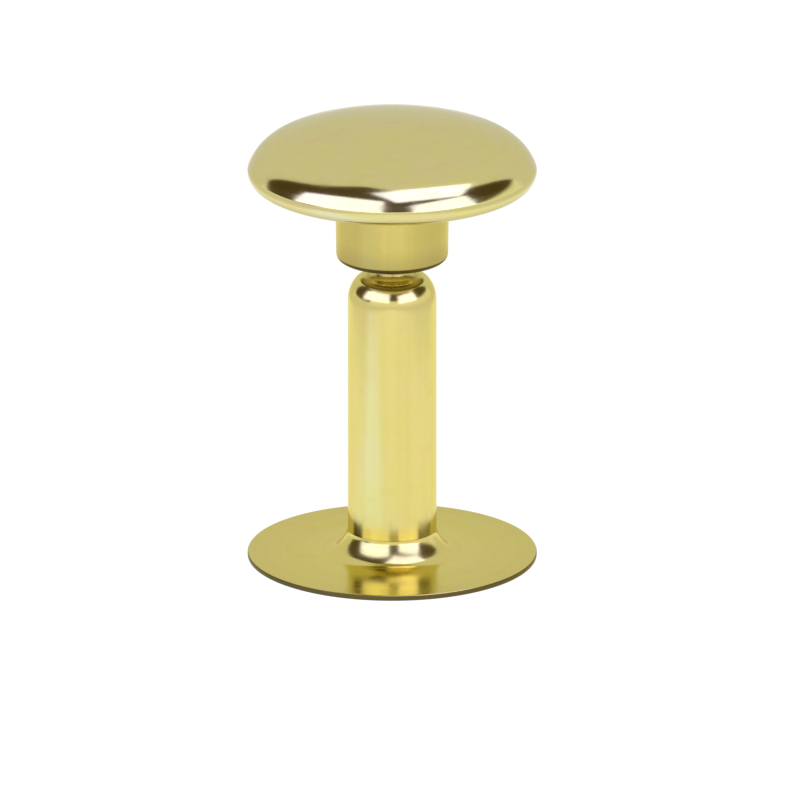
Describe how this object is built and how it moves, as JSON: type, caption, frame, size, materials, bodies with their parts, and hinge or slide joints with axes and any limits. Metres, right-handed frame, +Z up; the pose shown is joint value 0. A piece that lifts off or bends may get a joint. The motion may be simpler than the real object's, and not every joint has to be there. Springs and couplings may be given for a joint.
{
  "type": "tubular rivet",
  "caption": "Single-cap tubular rivet for leather: a flanged hollow post with a bulb tip, and a domed cap with a socket that presses onto the tip.",
  "frame": {"origin": "centre of the flange's flat underside, which is what the part stands on", "axes": "+Z up the post's axis towards the cap; X and Y are equal, because the part is round"},
  "size_m": [0.01, 0.01, 0.0158],
  "materials": {
    "post_brass": "polished",
    "socket_brass": "satin",
    "cap_brass": "polished"
  },
  "bodies": {
    "post": {"post": "post_brass"},
    "socket": {"cap_socket": "socket_brass"},
    "cap": {"cap_shell": "cap_brass"}
  },
  "joints": [
    {"name": "cap_lift", "type": "slide", "parent": "post", "child": "socket", "axis": [0, 0, 1], "range_m": [0, 0.005]},
    {"name": "cap_turn", "type": "hinge", "parent": "socket", "child": "cap", "pos_m": [0, 0, 0.01403], "axis": [0, 0, 1], "continuous": true}
  ]
}
